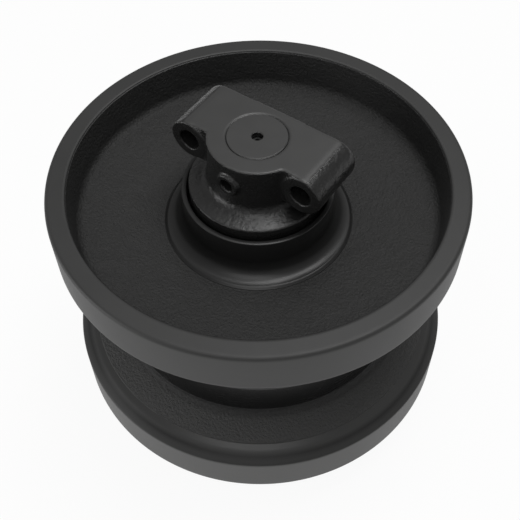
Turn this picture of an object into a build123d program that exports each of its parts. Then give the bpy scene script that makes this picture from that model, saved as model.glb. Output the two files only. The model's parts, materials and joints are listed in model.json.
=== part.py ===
from build123d import *
import math
import os

# Track idler: a hollow cast wheel with two rims and a groove between them, turning on a fixed shaft.
# Millimetres. Z is the wheel's axis, X runs along the brackets, and the bolts go through them along Y.
# The origin is the centre of the wheel. Every piece is made for the upper side, and the lower is its mirror.

# Wheel rims and groove
rim_diameter = 320.0
rim_face_height = 102.0
tread_width = 38.0
rim_face_width = 14.8
tread_corner = 3.0
groove_edge_round = 1.2
rim_shoulder_width = 10.5
rim_shoulder_drop = 6.8
drum_diameter = 244.0
groove_floor_height = 45.0
groove_root_round = 6.0
shoulder_round = 14.0

# Wheel web and dish
dish_wall_lean = 4.5
dish_root_round = 7.0
dish_lip_chamfer = 0.8
web_rim_height = 69.0
web_hub_height = 57.0
web_thickness = 14.0
drum_wall = 12.0
core_round = 10.0

# Wheel hub and its collar
collar_top_height = 92.0
collar_wall = 4.0
collar_foot_round = 13.0
collar_foot_height = 59.0
collar_step_width = 2.8
collar_edge = 0.7
hub_wall = 17.5
oil_space_depth = 3.5
oil_space_half_length = 16.0

# Shaft, oil way and oil plug
shaft_diameter = 45.0
shaft_end_chamfer = 0.8
oil_way_diameter = 7.0
oil_cross_hole_diameter = 5.0
plug_diameter = 8.4
plug_length = 9.0
plug_depth = 5.0
plug_socket = 4.0
plug_socket_depth = 4.5
port_chamfer = 0.5
lathe_centre_diameter = 8.4
lathe_centre_depth = 6.5

# Bushes
bush_wall = 5.0
bush_flange_width = 6.5
bush_flange_thickness = 4.0
bush_edge = 0.6
oil_groove_depth = 1.5

# Floating seals: two metal rings that run face to face, each held by a rubber ring
seal_plane_height = 74.0
seal_ring_width = 7.5
seal_ring_height = 10.5
seal_lip_thickness = 2.5
seal_lip_width = 2.0
seal_ramp_angle = 10.0
seal_mouth_diameter = 86.0
seal_ring_bore_gap = 1.5
labyrinth_half_gap = 1.0
labyrinth_side_gap = 2.0

# Brackets
flange_diameter = 105.4
flange_edge_height = 99.5
flange_edge_round = 1.0
flange_rise = 4.5
boss_diameter = 74.0
boss_root_round = 9.0
seal_pocket_wall = 9.5
nose_wall = 7.0
bracket_top_height = 143.5
bracket_top_edge = 0.6
bore_chamfer = 0.9
back_face_distance = 30.0
bolt_spacing = 98.0
bolt_hole_diameter = 17.0
ear_radius = 16.5
bar_front_distance = 17.3
bar_front_round = 1.0
bar_back_round = 1.6
bar_root_round = 4.0
ear_face_stand_off = 1.1
ear_face_edge = 0.9
bolt_hole_chamfer = 0.4

# Lock pins and the boss round each
pin_diameter = 10.0
pin_drop = 17.5
pin_recess = 6.5
pin_end_edge = 0.8
pin_thread_hole_diameter = 5.0
pin_thread_hole_depth = 12.0
pin_boss_diameter = 18.5
pin_boss_stand_off = 2.2
pin_boss_round = 1.4
pin_hole_chamfer = 0.5
pin_wall_to_oil_way = 4.5

# Rings that seal the brackets to the shaft
o_ring_section = 2.5
o_ring_groove_play = 1.2

# Welds that join the two halves of the wheel
drum_weld_depth = 6.0
drum_weld_crown = 1.6
hub_weld_depth = 4.5
hub_weld_crown = 1.0

# Clearances
running_clearance = 0.05
seat_clearance = 0.03
seal_film = 0.015
end_play = 0.3

# Radii and heights that follow from the sizes above
rim_radius = rim_diameter / 2
drum_radius = drum_diameter / 2
core_radius = drum_radius - drum_wall
dish_mouth_radius = rim_radius - rim_face_width
dish_root_radius = dish_mouth_radius - dish_wall_lean
tread_inner_height = rim_face_height - tread_width
shaft_radius = shaft_diameter / 2
bracket_bore_radius = shaft_radius + seat_clearance
bush_bore_radius = shaft_radius + running_clearance
bush_outer_radius = bush_bore_radius + bush_wall
hub_bore_radius = bush_outer_radius + seat_clearance
hub_outer_radius = hub_bore_radius + hub_wall
oil_space_radius = hub_bore_radius + oil_space_depth
flange_radius = flange_diameter / 2
collar_bore_radius = flange_radius + labyrinth_side_gap
collar_radius = collar_bore_radius + collar_wall
collar_foot_radius = collar_radius + collar_foot_round
web_inner_radius = collar_foot_radius + collar_step_width
seal_mouth_radius = seal_mouth_diameter / 2
wheel_shoulder_height = seal_plane_height - labyrinth_half_gap
bracket_skirt_height = seal_plane_height + labyrinth_half_gap
nose_radius = bracket_bore_radius + nose_wall
seal_bore_radius = nose_radius + seal_ring_bore_gap
bush_flange_radius = bush_outer_radius + bush_flange_width
seal_pocket_depth = seal_ring_height + bush_flange_thickness + labyrinth_half_gap / 2
wheel_pocket_height = wheel_shoulder_height - seal_pocket_depth
bracket_pocket_height = bracket_skirt_height + seal_pocket_depth
bush_flange_height = wheel_pocket_height + bush_flange_thickness
nose_height = bush_flange_height + end_play
boss_radius = boss_diameter / 2
bolt_height = bracket_top_height - ear_radius
ear_face_distance = bar_front_distance + ear_face_stand_off
pin_height = bracket_top_height - pin_drop
pin_boss_distance = boss_radius + pin_boss_stand_off
pin_hole_radius = pin_diameter / 2 + seat_clearance
pin_inner_distance = oil_way_diameter / 2 + pin_wall_to_oil_way
o_ring_height = (bracket_pocket_height + pin_height) / 2
ramp_slope = math.tan(math.radians(seal_ramp_angle))


def flat_outline(corners):
    """Closed flat face; each corner is (x, y) or (x, y, rounding), and its runs limit a rounding."""
    points = [Vector(corner[0], corner[1]) for corner in corners]
    roundings = [corner[2] if len(corner) > 2 else 0 for corner in corners]
    starts = []
    ends = []
    bends = []
    for index, here in enumerate(points):
        following = (index + 1) % len(points)
        before = points[index - 1] - here
        after = points[following] - here
        half_angle = math.radians(before.get_angle(after)) / 2
        free_before = before.length / (2 if roundings[index - 1] else 1)
        free_after = after.length / (2 if roundings[following] else 1)
        reach = min(roundings[index] / math.tan(half_angle), free_before, free_after)
        radius = reach * math.tan(half_angle)
        middle = (before.normalized() + after.normalized()).normalized()
        starts.append(here + before.normalized() * reach)
        ends.append(here + after.normalized() * reach)
        bends.append(here + middle * (radius / math.sin(half_angle) - radius))
    edges = []
    for index, start in enumerate(starts):
        if (ends[index - 1] - start).length > 0.001:
            edges.append(Line(ends[index - 1], start))
        if (ends[index] - start).length > 0.001:
            edges.append(ThreePointArc(start, bends[index], ends[index]))
    return make_face(edges)


def turned(corners):
    """Solid turned about the wheel's axis from an outline of (radius, height) corners."""
    return revolve(Plane.XZ * flat_outline(corners), Axis.Z)


def round_ring(centre_radius, height, section_radius):
    """Ring of round section about the wheel's axis."""
    section = Plane.XZ * Pos(centre_radius, height) * Circle(section_radius)
    return revolve(section, Axis.Z)


def cylinder_along_y(radius, x, z, front, back):
    """Cylinder that lies along Y, from the front distance to the back one."""
    face = Plane.XZ.offset(-front) * Pos(x, z) * Circle(radius)
    return extrude(face, back - front, dir=(0, 1, 0))


def cone_along_y(front_radius, back_radius, x, z, front, back):
    """Cone that lies along Y, for the chamfer at the mouth of a hole or the edge of a boss."""
    outline = [(0, front), (front_radius, front), (back_radius, back), (0, back)]
    cone = revolve(flat_outline(outline), Axis.Y)
    return Pos(x, 0, z) * cone


def wheel_half():
    """Upper half of the wheel: rim, groove face, drum, web, hub and collar in one hollow casting."""
    web_slope = (web_rim_height - web_hub_height) / (dish_root_radius - web_inner_radius)
    core_hub_height = web_hub_height - web_thickness
    core_rim_height = core_hub_height + web_slope * (core_radius - hub_outer_radius)
    shoulder_radius = rim_radius - rim_shoulder_width
    shoulder_height = tread_inner_height - rim_shoulder_drop
    pocket_radius = seal_mouth_radius - seal_pocket_depth * ramp_slope
    return turned([
        (oil_space_radius + hub_weld_depth, 0),
        (oil_space_radius, hub_weld_depth),
        (oil_space_radius, oil_space_half_length),
        (hub_bore_radius, oil_space_half_length),
        (hub_bore_radius, wheel_pocket_height, bush_edge),
        (pocket_radius, wheel_pocket_height, bush_edge),
        (seal_mouth_radius, wheel_shoulder_height, bush_edge),
        (collar_bore_radius, wheel_shoulder_height, labyrinth_half_gap),
        (collar_bore_radius, collar_top_height, collar_edge),
        (collar_radius, collar_top_height, collar_edge),
        (collar_radius, collar_foot_height, collar_foot_round),
        (collar_foot_radius + seat_clearance, collar_foot_height),
        (web_inner_radius, web_hub_height, collar_edge),
        (dish_root_radius, web_rim_height, dish_root_round),
        (dish_mouth_radius - dish_lip_chamfer, rim_face_height - dish_lip_chamfer),
        (dish_mouth_radius, rim_face_height),
        (rim_radius, rim_face_height, tread_corner),
        (rim_radius, tread_inner_height, groove_edge_round),
        (shoulder_radius, shoulder_height, shoulder_round),
        (drum_radius, groove_floor_height, groove_root_round),
        (drum_radius, drum_weld_depth),
        (drum_radius - drum_weld_depth, 0),
        (core_radius, 0),
        (core_radius, core_rim_height, core_round),
        (hub_outer_radius, core_hub_height, core_round),
        (hub_outer_radius, 0),
    ])


def drum_weld():
    """Weld bead that fills the groove between the two halves, outside the drum."""
    side = drum_weld_depth - seat_clearance
    root = drum_radius - side
    return turned([
        (root, 0),
        (drum_radius, side),
        (drum_radius + drum_weld_crown, side / 2, side / 2),
        (drum_radius + drum_weld_crown, -side / 2, side / 2),
        (drum_radius, -side),
    ])


def hub_weld():
    """Weld bead inside the hub, between the two bushes."""
    side = hub_weld_depth - seat_clearance
    root = oil_space_radius + side
    return turned([
        (root, 0),
        (oil_space_radius, side),
        (oil_space_radius - hub_weld_crown, side / 2, side / 2),
        (oil_space_radius - hub_weld_crown, -side / 2, side / 2),
        (oil_space_radius, -side),
    ])


def bush():
    """Flanged bush in the hub, with an oil groove along its bore; the flange takes the thrust."""
    body = turned([
        (bush_bore_radius, oil_space_half_length, bush_edge),
        (bush_outer_radius, oil_space_half_length, bush_edge),
        (bush_outer_radius, wheel_pocket_height),
        (bush_flange_radius, wheel_pocket_height, bush_edge),
        (bush_flange_radius, bush_flange_height, bush_edge),
        (bush_bore_radius, bush_flange_height, bush_edge),
    ])
    length = bush_flange_height - oil_space_half_length
    groove = Pos(bush_bore_radius, 0, oil_space_half_length) * Cylinder(
        oil_groove_depth, length, align=(Align.CENTER, Align.CENTER, Align.MIN)
    )
    return body - groove


def seal_ring():
    """Rotating metal seal ring; its lapped face looks up at the seal plane."""
    face = seal_plane_height - seal_film
    foot = seal_plane_height - seal_ring_height
    lip_foot = seal_plane_height - seal_lip_thickness
    lip_radius = seal_bore_radius + seal_ring_width
    ramp_top = lip_radius - seal_lip_width
    ramp_foot = ramp_top - (lip_foot - foot) * ramp_slope
    return turned([
        (seal_bore_radius, foot, bush_edge),
        (ramp_foot, foot, bush_edge),
        (ramp_top, lip_foot, bush_edge),
        (lip_radius, lip_foot, bush_edge),
        (lip_radius, face, seal_film),
        (seal_bore_radius + seal_lip_width, face),
        (seal_bore_radius, face - labyrinth_half_gap),
    ])


def seal_toric():
    """Rubber ring that centres the rotating metal ring in the hub, between two parallel cones."""
    height = seal_plane_height - (seal_ring_height + seal_lip_thickness) / 2
    ring_radius = seal_bore_radius + seal_ring_width - seal_lip_width
    ring_radius -= (seal_plane_height - seal_lip_thickness - height) * ramp_slope
    pocket_radius = seal_mouth_radius - (wheel_shoulder_height - height) * ramp_slope
    space = (pocket_radius - ring_radius) * math.cos(math.radians(seal_ramp_angle))
    return round_ring((pocket_radius + ring_radius) / 2, height, space / 2 - seat_clearance)


def bracket_core():
    """Turned form of the bracket: nose round the shaft, seal pocket, flange and boss."""
    pocket_radius = seal_mouth_radius - seal_pocket_depth * ramp_slope
    return turned([
        (bracket_bore_radius, nose_height, bush_edge),
        (nose_radius, nose_height, bush_edge),
        (nose_radius, bracket_pocket_height, bush_edge),
        (pocket_radius, bracket_pocket_height, bush_edge),
        (seal_mouth_radius, bracket_skirt_height, bush_edge),
        (flange_radius, bracket_skirt_height, bush_edge),
        (flange_radius, flange_edge_height, flange_edge_round),
        (boss_radius, flange_edge_height + flange_rise, boss_root_round),
        (boss_radius, bracket_top_height, bracket_top_edge),
        (bracket_bore_radius + bore_chamfer, bracket_top_height),
        (bracket_bore_radius, bracket_top_height - bore_chamfer),
    ])


def bracket_bar():
    """Bar across the top of the boss, rounded at its ends like the bolt ears it carries."""
    depth = bar_front_distance + back_face_distance
    outline = SlotCenterToCenter(bolt_spacing, 2 * ear_radius)
    bar = extrude(
        Plane.XZ.offset(-back_face_distance) * Pos(0, bolt_height) * outline, depth
    )
    front_edges = bar.edges().group_by(Axis.Y)[0]
    bar = fillet(front_edges, bar_front_round)
    back_edges = bar.edges().group_by(Axis.Y)[-1]
    return fillet(back_edges, bar_back_round)


def bar_root(side):
    """Hollow corner that fills the angle between the boss and the front of the bar."""
    middle_y = -bar_front_distance - bar_root_round
    middle_x = math.sqrt((boss_radius + bar_root_round) ** 2 - middle_y**2)
    middle = Vector(middle_x, middle_y)
    on_bar = Vector(middle_x, -bar_front_distance)
    on_boss = middle * (boss_radius / (boss_radius + bar_root_round))
    inside = Vector(on_boss.X, -bar_front_distance + bar_root_round)
    bend = middle + (on_bar + on_boss - middle - middle).normalized() * bar_root_round
    face = make_face([
        Line(on_boss, inside),
        Line(inside, on_bar),
        ThreePointArc(on_bar, bend, on_boss),
    ])
    corner = extrude(face, 2 * (ear_radius - bar_front_round), dir=(0, 0, 1))
    corner = Pos(0, 0, bracket_top_height - 2 * ear_radius + bar_front_round) * corner
    return corner if side > 0 else mirror(corner, Plane.YZ)


def bolt_ear(side):
    """Boss round one bolt hole, standing a little proud of the bar."""
    x = side * bolt_spacing / 2
    back = -bar_front_distance + bar_front_round
    face = -ear_face_distance + ear_face_edge
    body = cylinder_along_y(ear_radius, x, bolt_height, face, back)
    edge = cone_along_y(
        ear_radius - ear_face_edge, ear_radius, x, bolt_height, -ear_face_distance, face
    )
    return body + edge


def bolt_hole(side):
    """Hole through one ear and the bar, chamfered at both mouths."""
    x = side * bolt_spacing / 2
    radius = bolt_hole_diameter / 2
    wide = radius + bolt_hole_chamfer
    front = -ear_face_distance
    back = back_face_distance
    hole = cylinder_along_y(radius, x, bolt_height, front - 1, back + 1)
    hole += cone_along_y(wide, radius, x, bolt_height, front, front + bolt_hole_chamfer)
    hole += cone_along_y(radius, wide, x, bolt_height, back - bolt_hole_chamfer, back)
    return hole


def pin_boss():
    """Small round boss on the front of the bracket, round the mouth of the lock pin's hole."""
    radius = pin_boss_diameter / 2
    face = -pin_boss_distance
    body = cylinder_along_y(radius, 0, pin_height, face, -shaft_radius - nose_wall)
    return fillet(body.edges().group_by(Axis.Y)[0], pin_boss_round)


def bracket():
    """Bracket: core, bar, ears and pin boss, with a flat back and its holes."""
    above_flange = bracket_top_height - flange_edge_height
    behind = Pos(0, back_face_distance, flange_edge_height) * Box(
        flange_diameter, flange_diameter, above_flange + 1,
        align=(Align.CENTER, Align.MIN, Align.MIN),
    )
    bar = bracket_bar() - Cylinder(boss_radius - 1, 3 * bracket_top_height)
    body = bracket_core() - behind + bar
    for side in (-1, 1):
        body += bar_root(side)
        body += bolt_ear(side)
    pin_mouth = -pin_boss_distance
    pin_hole = cylinder_along_y(pin_hole_radius, 0, pin_height, pin_mouth - 1, 0)
    pin_hole += cone_along_y(
        pin_hole_radius + pin_hole_chamfer, pin_hole_radius, 0, pin_height,
        pin_mouth, pin_mouth + pin_hole_chamfer,
    )
    body += pin_boss() - Cylinder(boss_radius - 1, 3 * bracket_top_height)
    body -= pin_hole
    body -= bolt_hole(-1)
    body -= bolt_hole(1)
    return body


def lock_pin():
    """Dowel that holds bracket and shaft together, with a threaded end for pulling it out."""
    front = -pin_boss_distance + pin_recess
    back = -pin_inner_distance - seat_clearance
    radius = pin_diameter / 2
    face = front + pin_end_edge
    end = back - pin_end_edge
    pin = cylinder_along_y(radius, 0, pin_height, face, end)
    pin += cone_along_y(radius - pin_end_edge, radius, 0, pin_height, front, face)
    pin += cone_along_y(radius, radius - pin_end_edge, 0, pin_height, end, back)
    thread_radius = pin_thread_hole_diameter / 2
    thread_end = front + pin_thread_hole_depth
    pin -= cylinder_along_y(thread_radius, 0, pin_height, front - 1, thread_end)
    return pin


def shaft():
    """Fixed shaft with an oil way, two pin holes and two ring grooves."""
    top = bracket_top_height
    groove = o_ring_section + o_ring_groove_play
    groove_floor = shaft_radius - o_ring_section
    body = turned([
        (0, -top),
        (shaft_radius, -top, shaft_end_chamfer),
        (shaft_radius, -o_ring_height - groove / 2),
        (groove_floor, -o_ring_height - groove / 2),
        (groove_floor, -o_ring_height + groove / 2),
        (shaft_radius, -o_ring_height + groove / 2),
        (shaft_radius, o_ring_height - groove / 2),
        (groove_floor, o_ring_height - groove / 2),
        (groove_floor, o_ring_height + groove / 2),
        (shaft_radius, o_ring_height + groove / 2),
        (shaft_radius, top, shaft_end_chamfer),
        (0, top),
    ])
    plug_foot = top - plug_depth - plug_length
    port_radius = plug_diameter / 2 + seat_clearance
    body -= turned([
        (0, 0),
        (oil_way_diameter / 2, 0),
        (oil_way_diameter / 2, plug_foot - seat_clearance),
        (port_radius, plug_foot - seat_clearance),
        (port_radius, top - port_chamfer),
        (port_radius + port_chamfer, top),
        (0, top),
    ])
    body -= turned([
        (0, -top),
        (lathe_centre_diameter / 2, -top),
        (0, -top + lathe_centre_depth),
    ])
    body -= Rot(0, 90, 0) * Cylinder(oil_cross_hole_diameter / 2, 2 * shaft_diameter)
    for height in (-pin_height, pin_height):
        body -= cylinder_along_y(
            pin_hole_radius, 0, height, -shaft_diameter, -pin_inner_distance
        )
    return body


def oil_plug():
    """Socket plug that closes the oil way, sunk below the end of the shaft."""
    head = bracket_top_height - plug_depth
    foot = head - plug_length
    radius = plug_diameter / 2
    plug = turned([
        (0, foot),
        (radius, foot, port_chamfer),
        (radius, head, port_chamfer),
        (0, head),
    ])
    socket_face = Pos(0, 0, head) * RegularPolygon(plug_socket / 2, 6, major_radius=False)
    return plug - extrude(socket_face, -plug_socket_depth)


def shaft_o_ring():
    """Rubber ring between the shaft and the bracket's bore."""
    section = o_ring_section / 2
    return round_ring(shaft_radius - section + seat_clearance / 2, o_ring_height, section)


def lower(shape):
    """The same piece on the lower side."""
    return mirror(shape, Plane.XY)


def stationary(shape):
    """A rotating seal piece turned over onto the bracket's side of the seal plane."""
    return mirror(shape, Plane.XY.offset(seal_plane_height))


pieces = {
    "wheel_half_upper": wheel_half(),
    "wheel_half_lower": lower(wheel_half()),
    "drum_weld": drum_weld(),
    "hub_weld": hub_weld(),
    "shaft": shaft(),
    "oil_plug": oil_plug(),
    "bush_upper": bush(),
    "bush_lower": lower(bush()),
    "rotating_seal_ring_upper": seal_ring(),
    "rotating_seal_ring_lower": lower(seal_ring()),
    "rotating_toric_upper": seal_toric(),
    "rotating_toric_lower": lower(seal_toric()),
    "stationary_seal_ring_upper": stationary(seal_ring()),
    "stationary_seal_ring_lower": lower(stationary(seal_ring())),
    "stationary_toric_upper": stationary(seal_toric()),
    "stationary_toric_lower": lower(stationary(seal_toric())),
    "bracket_upper": bracket(),
    "bracket_lower": lower(bracket()),
    "lock_pin_upper": lock_pin(),
    "lock_pin_lower": lower(lock_pin()),
    "shaft_o_ring_upper": shaft_o_ring(),
    "shaft_o_ring_lower": lower(shaft_o_ring()),
}

os.makedirs("parts", exist_ok=True)
for name, piece in pieces.items():
    export_step(piece, f"parts/{name}.step")
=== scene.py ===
import bmesh
import bpy
import json
import math
from mathutils import Matrix, Vector, noise


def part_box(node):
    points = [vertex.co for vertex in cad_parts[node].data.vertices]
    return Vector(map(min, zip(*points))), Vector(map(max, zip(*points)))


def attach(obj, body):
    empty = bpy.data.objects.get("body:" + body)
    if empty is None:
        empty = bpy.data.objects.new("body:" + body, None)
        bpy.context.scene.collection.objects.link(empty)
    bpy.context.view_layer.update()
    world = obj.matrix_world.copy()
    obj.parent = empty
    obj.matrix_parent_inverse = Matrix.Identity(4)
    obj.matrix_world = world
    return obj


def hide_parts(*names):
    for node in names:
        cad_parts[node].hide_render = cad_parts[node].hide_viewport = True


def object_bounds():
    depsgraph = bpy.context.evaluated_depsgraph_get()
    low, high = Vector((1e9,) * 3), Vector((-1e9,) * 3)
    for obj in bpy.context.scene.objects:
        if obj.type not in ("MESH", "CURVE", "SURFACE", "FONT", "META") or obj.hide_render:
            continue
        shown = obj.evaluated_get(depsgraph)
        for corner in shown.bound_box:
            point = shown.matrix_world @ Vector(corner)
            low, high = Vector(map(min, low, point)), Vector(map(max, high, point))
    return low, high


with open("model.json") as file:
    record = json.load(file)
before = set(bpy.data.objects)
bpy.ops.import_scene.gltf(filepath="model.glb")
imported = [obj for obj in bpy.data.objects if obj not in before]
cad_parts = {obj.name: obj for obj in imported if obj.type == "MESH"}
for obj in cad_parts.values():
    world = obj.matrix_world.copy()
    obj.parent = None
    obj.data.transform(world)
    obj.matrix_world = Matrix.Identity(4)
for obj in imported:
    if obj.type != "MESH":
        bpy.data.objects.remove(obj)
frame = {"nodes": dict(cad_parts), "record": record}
cad_low, cad_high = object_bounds()

# Lengths below are in millimetres and become metres through this factor
MM = 0.001

# Photograph's camera, in radii of the wheel and degrees, as fitted to the rims
rim_radius = cad_high.x / MM
bracket_turn = 35.8
camera_back = 2.7416 * rim_radius
camera_height = 3.6073 * rim_radius
camera_pitch = 52.93
camera_yaw = 0.06
camera_roll = -0.94
sensor_width = 36.0
picture_width = 520
picture_focal_pixels = 855.2

# Wheel section
rim_face_height = 102.0
tread_width = 38.0
rim_face_width = 14.8
tread_corner = 3.0
groove_edge_round = 1.2
rim_shoulder_width = 10.5
rim_shoulder_drop = 6.8
groove_floor_height = 45.0
groove_root_round = 6.0
shoulder_round = 14.0
drum_radius = 122.0
drum_wall = 12.0
dish_wall_lean = 4.5
dish_root_round = 7.0
dish_lip_chamfer = 0.8
web_rim_height = 69.0
web_hub_height = 57.0
web_thickness = 14.0
core_round = 10.0
collar_top_height = 92.0
collar_bore_radius = 54.7
collar_wall = 4.0
collar_foot_round = 13.0
collar_foot_height = 59.0
collar_step_width = 2.8
collar_edge = 0.7
weld_depth = 6.0
weld_crown = 1.6

# Studio: a soft box over the object, seen from the camera's side, in metres and watts
surroundings = 0.36
floor_whiteness = 0.93
soft_box_width = 1.0
soft_box_depth = 1.0
soft_box_power = 21.0
soft_box_place = (0.38, 0.34, 2.0)
side_panel_width = 1.0
side_panel_depth = 1.0
side_panel_power = 15.0
side_panel_place = (-2.2, -0.6, 0.30)
front_panel_width = 1.2
front_panel_depth = 1.0
front_panel_power = 7.5
front_panel_place = (-0.2, -0.9, 2.0)

wheel_steps = 320
skin_step = 1.9
cast_swell = 0.28

# Bracket: places of its holes, and the fineness and unevenness of its cast skin
bolt_reach = 49.0
bolt_height = 127.0
pin_height = 126.0
bracket_voxel = 0.9
bracket_soften = 8
bracket_swell = 0.16


class Wire:
    """A shader socket that takes part in sums, products and comparisons."""

    def __init__(self, finish, socket):
        self.finish = finish
        self.socket = socket

    def _maths(self, operation, first, second=None, clamp=False):
        values = {0: first}
        if second is not None:
            values[1] = second
        settings = {"operation": operation, "use_clamp": clamp}
        return self.finish.node("ShaderNodeMath", settings, values)

    def __add__(self, other):
        return self._maths("ADD", self, other)

    def __radd__(self, other):
        return self._maths("ADD", other, self)

    def __sub__(self, other):
        return self._maths("SUBTRACT", self, other)

    def __rsub__(self, other):
        return self._maths("SUBTRACT", other, self)

    def __mul__(self, other):
        return self._maths("MULTIPLY", self, other)

    def __rmul__(self, other):
        return self._maths("MULTIPLY", other, self)

    def __truediv__(self, other):
        return self._maths("DIVIDE", self, other)

    def __pow__(self, other):
        return self._maths("POWER", self, other)

    def held(self):
        """The value kept between 0 and 1."""
        return self._maths("ADD", self, 0.0, clamp=True)

    def size(self):
        """The value without its sign."""
        return self._maths("ABSOLUTE", self)

    def sine(self):
        """The sine of the value in radians."""
        return self._maths("SINE", self)

    def ramp(self, start, end):
        """0 at start, 1 at end and straight between them."""
        return ((self - start) * (1.0 / (end - start))).held()

    def band(self, low, high, edge):
        """1 between low and high, fading to 0 over an edge's width outside them."""
        return self.ramp(low - edge, low) * self.ramp(high + edge, high)


class Finish:
    """A surface finish: one material, its shader and the nodes that vary it."""

    def __init__(self, name):
        self.material = bpy.data.materials.new(name)
        self.material.use_nodes = True
        self.tree = self.material.node_tree
        self.shader = self.tree.nodes["Principled BSDF"]

    def node(self, kind, settings=None, values=None, output=0):
        """New node of a kind: its settings first, then the values or links of its sockets."""
        made = self.tree.nodes.new(kind)
        for key, value in (settings or {}).items():
            setattr(made, key, value)
        for key, value in (values or {}).items():
            self.feed(made.inputs[key], value)
        return Wire(self, made.outputs[output])

    def feed(self, socket, value):
        """Links a wire to a socket, or writes a plain value on it."""
        if isinstance(value, Wire):
            self.tree.links.new(value.socket, socket)
        else:
            socket.default_value = value

    def set(self, **sockets):
        """Sets sockets of the shader; an underscore in a name stands for a space."""
        for key, value in sockets.items():
            self.feed(self.shader.inputs[key.replace("_", " ")], value)

    def place(self):
        """Place on the piece in millimetres."""
        coordinates = self.node("ShaderNodeTexCoord", output=3)
        return self.node("ShaderNodeVectorMath", {"operation": "SCALE"},
                         {0: coordinates, 3: 1.0 / MM})

    def parts_of(self, vector):
        """The three numbers of a vector."""
        split = self.node("ShaderNodeSeparateXYZ", None, {0: vector})
        return [Wire(self, socket) for socket in split.socket.node.outputs]

    def grain(self, vector, size, detail=3.0, roughness=0.55):
        """Noise from 0 to 1 whose lumps are about so many millimetres wide."""
        values = {"Vector": vector, "Scale": 1.0 / size, "Detail": detail, "Roughness": roughness}
        return self.node("ShaderNodeTexNoise", {"noise_dimensions": "3D"}, values)

    def colours(self, factor, first, second):
        """Mix of two colours by a factor."""
        return self.node("ShaderNodeMix", {"data_type": "RGBA"},
                         {0: factor, 6: first, 7: second}, output=2)

    def relief(self, height, depth, before=None):
        """Bump from a height of 0 to 1 that stands so many millimetres deep."""
        values = {"Height": height, "Distance": depth * MM, "Strength": 1.0}
        if before is not None:
            values["Normal"] = before
        return self.node("ShaderNodeBump", None, values)


def grey(level):
    """Neutral colour of one linear level."""
    return (level, level, level * 0.985, 1.0)


def wheel_paint():
    """Satin black paint: rough over the cast web and dish, smooth over the turned rim and collar;
    the drum in the groove carries painted shade and the lower tread a painted glow of the floor.
    """
    finish = Finish("wheel_black_paint")
    place = finish.place()
    x, y, z = finish.parts_of(place)
    flat_place = finish.node("ShaderNodeVectorMath", {"operation": "MULTIPLY"},
                             {0: place, 1: (1.0, 1.0, 0.0)})
    radius = finish.node("ShaderNodeVectorMath", {"operation": "LENGTH"}, {0: flat_place}, output=1)
    height = z.size()
    dish_mouth = rim_radius - rim_face_width
    web_inner = collar_bore_radius + collar_wall + collar_foot_round + collar_step_width
    cast = radius.band(web_inner, dish_mouth - 0.8, 0.6) * height.band(40.0, 100.0, 1.0)
    # Mask of the drum deep in the groove, used below to darken its colour as painted shade
    drum = radius.ramp(drum_radius + 4.0, drum_radius + 1.0) * height.ramp(54.0, 48.0)
    turned = radius.ramp(dish_mouth - 0.8, dish_mouth) * height.ramp(60.0, 62.0)
    groove = radius.ramp(drum_radius + 2.0, drum_radius + 6.0) * height.ramp(60.0, 58.0)
    tread = radius.ramp(rim_radius - 0.6, rim_radius - 0.2)
    # Painted light: only the lower tread, close above the white floor, gets a lighter colour
    # standing in for the floor's glow
    floor_glow_tread = tread * z.ramp(0.0, -1.0)
    fine = finish.grain(place, 0.9, 3.0, 0.6)
    pebble = finish.grain(place, 2.2, 2.0, 0.5)
    broad = finish.grain(place, 45.0, 2.0, 0.5)
    streak_place = finish.node("ShaderNodeVectorMath", {"operation": "MULTIPLY"},
                               {0: place, 1: (0.12, 0.12, 1.6)})
    streaks = finish.grain(streak_place, 1.6, 2.0, 0.6)
    pick = finish.grain(place, 0.5, 2.0, 0.6)
    # Painted shade: the drum's black is made 0.009 darker where it sits in the groove's shade
    level = 0.011 + 0.006 * cast + turned * (0.014 + 0.010 * (broad - 0.5)) - drum * 0.009
    level = level + groove * (1.0 - drum) * 0.026
    # The last term paints the floor's glow on the lower tread, making it 0.040 lighter than the
    # upper one
    level = level + tread * 0.014 * (streaks - 0.5) + floor_glow_tread * 0.040
    base = finish.node("ShaderNodeCombineColor", None, {0: level, 1: level, 2: level * 0.98})
    rough = 0.34 + cast * 0.24 + turned * 0.18 - drum * 0.08
    rough = rough + 0.08 * (broad - 0.5) + 0.06 * (streaks - 0.5)
    bump = finish.relief(pebble * cast, 1.0)
    bump = finish.relief(fine * cast, 0.60, bump)
    bump = finish.relief(pick, 0.012, bump)
    finish.set(Base_Color=base, Roughness=rough, Normal=bump, IOR=1.45)
    return finish.material


def bracket_paint():
    """Glossier black paint over a casting, with a fine orange peel."""
    finish = Finish("bracket_black_paint")
    place = finish.place()
    x, y, z = finish.parts_of(place)
    height = z.size()
    face = height.ramp(142.6, 143.1)
    fine = finish.grain(place, 1.0, 3.0, 0.6)
    pebble = finish.grain(place, 2.4, 2.0, 0.5)
    broad = finish.grain(place, 18.0, 2.0, 0.5)
    cast = 1.0 - face
    level = 0.010 + face * 0.022 + 0.003 * (broad - 0.5)
    base = finish.node("ShaderNodeCombineColor", None, {0: level, 1: level, 2: level * 0.98})
    rough = 0.27 + face * 0.13 + 0.12 * (broad - 0.5)
    bump = finish.relief(pebble * cast, 0.45)
    bump = finish.relief(fine * cast, 0.22, bump)
    finish.set(Base_Color=base, Roughness=rough, Normal=bump, IOR=1.5)
    return finish.material


def plain_finish(name, colour, metallic, roughness, lump, depth):
    """Simple varied finish for small and inner pieces."""
    finish = Finish(name)
    place = finish.place()
    lumps = finish.grain(place, lump, 3.0, 0.55)
    broad = finish.grain(place, lump * 9.0, 2.0, 0.5)
    dark = tuple(part * 0.75 for part in colour[:3]) + (1.0,)
    base = finish.colours((0.6 * lumps + 0.4 * broad).held(), dark, colour)
    rough = roughness + 0.15 * (broad - 0.5)
    finish.set(Base_Color=base, Roughness=rough, Metallic=metallic,
               Normal=finish.relief(lumps, depth))
    return finish.material


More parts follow.
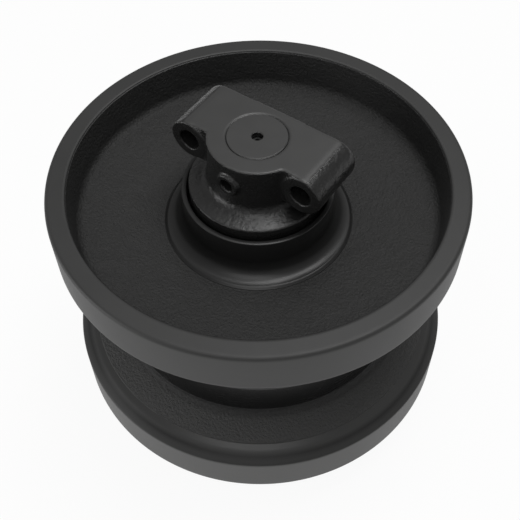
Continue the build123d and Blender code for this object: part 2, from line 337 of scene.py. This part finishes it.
def new_piece(name, body, made, material, smooth=True):
    """Object from a bmesh at the origin, riding on a body."""
    mesh = bpy.data.meshes.new(name)
    made.to_mesh(mesh)
    made.free()
    piece = bpy.data.objects.new(name, mesh)
    bpy.context.scene.collection.objects.link(piece)
    mesh.materials.append(material)
    if smooth:
        mesh.polygons.foreach_set("use_smooth", [True] * len(mesh.polygons))
    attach(piece, body)
    return piece


def turned_skin(corners, steps, finest, arc_step=0.9):
    """Closed mesh turned about Z from (radius, height, rounding) corners in millimetres."""
    skin = bmesh.new()
    points = [Vector((corner[0], 0, corner[1])) * MM for corner in corners]
    roundings = [corner[2] if len(corner) > 2 else 0 for corner in corners]
    verts = [skin.verts.new(point) for point in points]
    skin.faces.new(verts)
    for index, here in enumerate(points):
        rounding = roundings[index]
        if not rounding:
            continue
        following = (index + 1) % len(points)
        before = points[index - 1] - here
        after = points[following] - here
        half_angle = before.angle(after) / 2
        free_before = before.length * (0.49 if roundings[index - 1] else 0.99)
        free_after = after.length * (0.49 if roundings[following] else 0.99)
        reach = min(rounding * MM / math.tan(half_angle), free_before, free_after)
        turn = math.pi - 2 * half_angle
        segments = max(2, math.ceil(turn * rounding / arc_step))
        bmesh.ops.bevel(skin, geom=[verts[index]], offset=reach, offset_type="OFFSET",
                        segments=segments, profile=0.5, affect="VERTICES", material=-1)
    bmesh.ops.delete(skin, geom=skin.faces[:], context="FACES_ONLY")
    for edge in skin.edges[:]:
        middle = (edge.verts[0].co + edge.verts[1].co) / 2
        step = finest(middle.x / MM, middle.z / MM)
        cuts = math.ceil(edge.calc_length() / MM / step) - 1
        if cuts > 0:
            bmesh.ops.subdivide_edges(skin, edges=[edge], cuts=cuts)
    bmesh.ops.spin(skin, geom=skin.verts[:] + skin.edges[:], cent=(0, 0, 0), axis=(0, 0, 1),
                   angle=2 * math.pi, steps=steps, use_merge=True)
    bmesh.ops.recalc_face_normals(skin, faces=skin.faces[:])
    return skin


def wheel_corners():
    """Section of the upper half of the wheel, as the casting is built."""
    collar_radius = collar_bore_radius + collar_wall
    foot_radius = collar_radius + collar_foot_round
    web_inner = foot_radius + collar_step_width
    dish_mouth = rim_radius - rim_face_width
    dish_root = dish_mouth - dish_wall_lean
    tread_inner = rim_face_height - tread_width
    core_radius = drum_radius - drum_wall
    hub_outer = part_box("bush_upper")[1].x / MM + 11.0
    hub_bore = 27.6
    core_hub = web_hub_height - web_thickness
    web_slope = (web_rim_height - web_hub_height) / (dish_root - web_inner)
    core_rim = core_hub + web_slope * (core_radius - hub_outer)
    seal_floor = 57.5
    seal_floor_radius = 40.3
    seal_mouth_radius = 43.0
    shoulder = 73.0
    return [
        (35.6, 0), (31.1, 4.5), (31.1, 16.0), (hub_bore, 16.0), (hub_bore, seal_floor, 0.6),
        (seal_floor_radius, seal_floor, 0.6), (seal_mouth_radius, shoulder, 0.6),
        (collar_bore_radius, shoulder, 1.0), (collar_bore_radius, collar_top_height, collar_edge),
        (collar_radius, collar_top_height, collar_edge),
        (collar_radius, collar_foot_height, collar_foot_round),
        (foot_radius + 0.03, collar_foot_height), (web_inner, web_hub_height, 1.3),
        (dish_root, web_rim_height, dish_root_round),
        (dish_mouth - dish_lip_chamfer, rim_face_height - dish_lip_chamfer),
        (dish_mouth, rim_face_height), (rim_radius, rim_face_height, tread_corner),
        (rim_radius, tread_inner, groove_edge_round),
        (rim_radius - rim_shoulder_width, tread_inner - rim_shoulder_drop, shoulder_round),
        (drum_radius, groove_floor_height, groove_root_round),
        (drum_radius, weld_depth), (drum_radius - weld_depth, 0), (core_radius, 0),
        (core_radius, core_rim, core_round), (hub_outer, core_hub, core_round), (hub_outer, 0),
    ]


def wheel_step(radius, height):
    """Spacing of the section's points: close where the casting shows, wide in its core."""
    shown = radius > 71 and height > web_hub_height - 3
    shown = shown or radius > drum_radius - 0.5
    if not shown:
        return 12.0
    return skin_step


def cast_depth(radius, height):
    """How rough the casting is at a place of the section, from 0 to 1."""
    dish_mouth = rim_radius - rim_face_width
    web_inner = collar_bore_radius + collar_wall + collar_foot_round + collar_step_width
    if height < web_hub_height - 2:
        return 0.0
    return max(0.0, min(1.0, (radius - web_inner - 0.8) / 2, (dish_mouth - 1.5 - radius) / 2))


def wheel_half(name, side, material):
    """One half of the wheel with the swells of its casting in the surface."""
    skin = turned_skin(wheel_corners(), wheel_steps, wheel_step)
    skin.normal_update()
    moves = []
    for vert in skin.verts:
        radius = math.hypot(vert.co.x, vert.co.y) / MM
        rough = cast_depth(radius, vert.co.z / MM)
        if rough > 0:
            place = vert.co / MM
            swell = noise.noise(place / 9.0) + 0.5 * noise.noise(place / 4.5)
            moves.append((vert, vert.normal * swell * rough * cast_swell * MM))
    for vert, move in moves:
        vert.co += move
    if side < 0:
        bmesh.ops.scale(skin, vec=(1, 1, -1), verts=skin.verts[:])
        bmesh.ops.recalc_face_normals(skin, faces=skin.faces[:])
    return new_piece(name, "wheel", skin, material)


def bracket_roughness(place):
    """1 where the bracket is as cast and 0 on its machined faces, for a place in millimetres."""
    x, y, z = place.x, place.y, abs(place.z)
    if z > 142.9 or z < 100.2 or y > 29.4:
        return 0.0
    if math.hypot(x, y) < 26.0 or math.hypot(x, z - pin_height) < 10.4 and y < -30.0:
        return 0.0
    from_bolt = math.hypot(abs(x) - bolt_reach, z - bolt_height)
    if from_bolt < 9.4 or y < -17.6 and from_bolt < 17.2:
        return 0.0
    return min(1.0, (142.9 - z) / 1.5, (z - 100.2) / 2.0, (29.4 - y) / 1.5)


def dressed_bracket(name, node, material):
    """Bracket with the soft edges, filled corners and uneven skin of its casting."""
    solid = bmesh.new()
    solid.from_mesh(frame["nodes"][node].data)
    bmesh.ops.remove_doubles(solid, verts=solid.verts[:], dist=0.005 * MM)
    mesh = bpy.data.meshes.new(name + "_solid")
    solid.to_mesh(mesh)
    solid.free()
    rough_piece = bpy.data.objects.new(name + "_solid", mesh)
    bpy.context.scene.collection.objects.link(rough_piece)
    remesh = rough_piece.modifiers.new("skin", "REMESH")
    remesh.mode = "VOXEL"
    remesh.voxel_size = bracket_voxel * MM
    bpy.context.view_layer.update()
    ready = rough_piece.evaluated_get(bpy.context.evaluated_depsgraph_get())
    skin_mesh = bpy.data.meshes.new_from_object(ready)
    bpy.data.objects.remove(rough_piece)
    skin = bmesh.new()
    skin.from_mesh(skin_mesh)
    bpy.data.meshes.remove(skin_mesh)
    cast = [(vert, bracket_roughness(vert.co / MM)) for vert in skin.verts]
    soft = [vert for vert, rough in cast if rough > 0.0]
    for _ in range(bracket_soften):
        bmesh.ops.smooth_vert(skin, verts=soft, factor=0.5,
                              use_axis_x=True, use_axis_y=True, use_axis_z=True)
    skin.normal_update()
    for vert, rough in cast:
        if rough > 0.0:
            place = vert.co / MM
            swell = noise.noise(place / 7.0) + 0.6 * noise.noise(place / 2.8)
            vert.co += vert.normal * swell * rough * bracket_swell * MM
    return new_piece(name, "axle", skin, material)


def make_camera():
    """Camera at the photograph's place, turned with the bracket."""
    camera = bpy.data.cameras.new("photo_camera")
    camera.sensor_width = sensor_width
    camera.lens = sensor_width * picture_focal_pixels / picture_width
    camera.clip_start = 0.01
    camera.clip_end = 20
    piece = bpy.data.objects.new("photo_camera", camera)
    bpy.context.scene.collection.objects.link(piece)
    turn = Matrix.Rotation(math.radians(bracket_turn), 4, "Z")
    place = turn @ Matrix.Translation(Vector((0, -camera_back, camera_height)) * MM)
    aim = Matrix.Rotation(math.radians(-camera_yaw), 4, "Z")
    aim = aim @ Matrix.Rotation(math.radians(90 - camera_pitch), 4, "X")
    aim = aim @ Matrix.Rotation(math.radians(camera_roll), 4, "Z")
    piece.matrix_world = place @ aim
    bpy.context.scene.camera = piece


def backdrop_rays(finish):
    """1 for the rays that see the backdrop: from the camera, and off or through a surface."""
    rays = finish.tree.nodes.new("ShaderNodeLightPath")
    seen = Wire(finish, rays.outputs["Is Camera Ray"])
    for name in ("Is Glossy Ray", "Is Transmission Ray"):
        seen = seen + Wire(finish, rays.outputs[name])
    return seen.held()


def make_floor():
    """Pale floor under the lower bracket that keeps the object's shadow."""
    finish = Finish("pale_floor")
    finish.set(Base_Color=(0.86, 0.86, 0.86, 1.0), Roughness=0.9)
    white = finish.node("ShaderNodeEmission", None, {"Color": (1, 1, 1, 1), "Strength": 1.0})
    body = Wire(finish, finish.shader.outputs[0])
    share = backdrop_rays(finish) * floor_whiteness
    mixed = finish.node("ShaderNodeMixShader", None, {0: share, 1: body, 2: white})
    finish.tree.links.new(mixed.socket, finish.tree.nodes["Material Output"].inputs["Surface"])
    ground = bmesh.new()
    bmesh.ops.create_grid(ground, x_segments=8, y_segments=8, size=6.0)
    bmesh.ops.translate(ground, vec=(0, 0, cad_low.z), verts=ground.verts[:])
    mesh = bpy.data.meshes.new("floor")
    ground.to_mesh(mesh)
    ground.free()
    piece = bpy.data.objects.new("floor", mesh)
    bpy.context.scene.collection.objects.link(piece)
    mesh.materials.append(finish.material)


def make_lamp(name, width, depth, power, place):
    """Rectangular lamp at a place seen from the camera's side, aimed at the object."""
    lamp = bpy.data.lights.new(name, "AREA")
    lamp.shape = "RECTANGLE"
    lamp.size = width
    lamp.size_y = depth
    lamp.energy = power
    piece = bpy.data.objects.new(name, lamp)
    bpy.context.scene.collection.objects.link(piece)
    turn = Matrix.Rotation(math.radians(bracket_turn), 4, "Z")
    piece.location = turn @ Vector(place)
    piece.rotation_mode = "QUATERNION"
    piece.rotation_quaternion = (-piece.location).to_track_quat("-Z", "Y")


def make_lights():
    """Dim surroundings, a soft box overhead, a panel low at the left and one behind the camera."""
    world = bpy.data.worlds.new("studio")
    bpy.context.scene.world = world
    world.use_nodes = True
    world.node_tree.nodes["Background"].inputs["Color"].default_value = (1, 1, 1, 1)
    world.node_tree.nodes["Background"].inputs["Strength"].default_value = surroundings
    make_lamp("soft_box", soft_box_width, soft_box_depth, soft_box_power, soft_box_place)
    make_lamp("side_panel", side_panel_width, side_panel_depth, side_panel_power, side_panel_place)
    make_lamp("front_panel", front_panel_width, front_panel_depth, front_panel_power,
              front_panel_place)


bpy.context.scene.view_settings.view_transform = "Standard"
make_camera()
make_floor()
make_lights()

rim_paint = wheel_paint()
cast_paint = bracket_paint()
pin_steel = plain_finish("pin_steel", (0.11, 0.11, 0.11, 1), 0.9, 0.35, 0.8, 0.01)
seal_iron = plain_finish("seal_iron", (0.42, 0.42, 0.43, 1), 1.0, 0.28, 0.6, 0.005)
seal_rubber = plain_finish("seal_rubber", (0.02, 0.02, 0.02, 1), 0.0, 0.6, 0.7, 0.02)
bush_bronze = plain_finish("bush_bronze", (0.55, 0.36, 0.17, 1), 1.0, 0.35, 0.9, 0.01)
slot_finish = {
    "wheel_paint": rim_paint,
    "bracket_paint": cast_paint,
    "shaft_paint": cast_paint,
    "weld_paint": rim_paint,
    "bush_bronze": bush_bronze,
    "seal_iron": seal_iron,
    "seal_rubber": seal_rubber,
    "pin_steel": pin_steel,
}
for part in frame["record"]["subparts"]:
    mesh = frame["nodes"][part["node"]].data
    mesh.materials.clear()
    mesh.materials.append(slot_finish[part["material_slot"]])

for side_name, side in (("upper", 1), ("lower", -1)):
    half = wheel_half(f"painted_wheel_half_{side_name}", side, rim_paint)
    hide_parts(f"wheel_half_{side_name}")

    arm = dressed_bracket(f"painted_bracket_{side_name}", f"bracket_{side_name}", cast_paint)
    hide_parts(f"bracket_{side_name}")

bpy.context.view_layer.update()
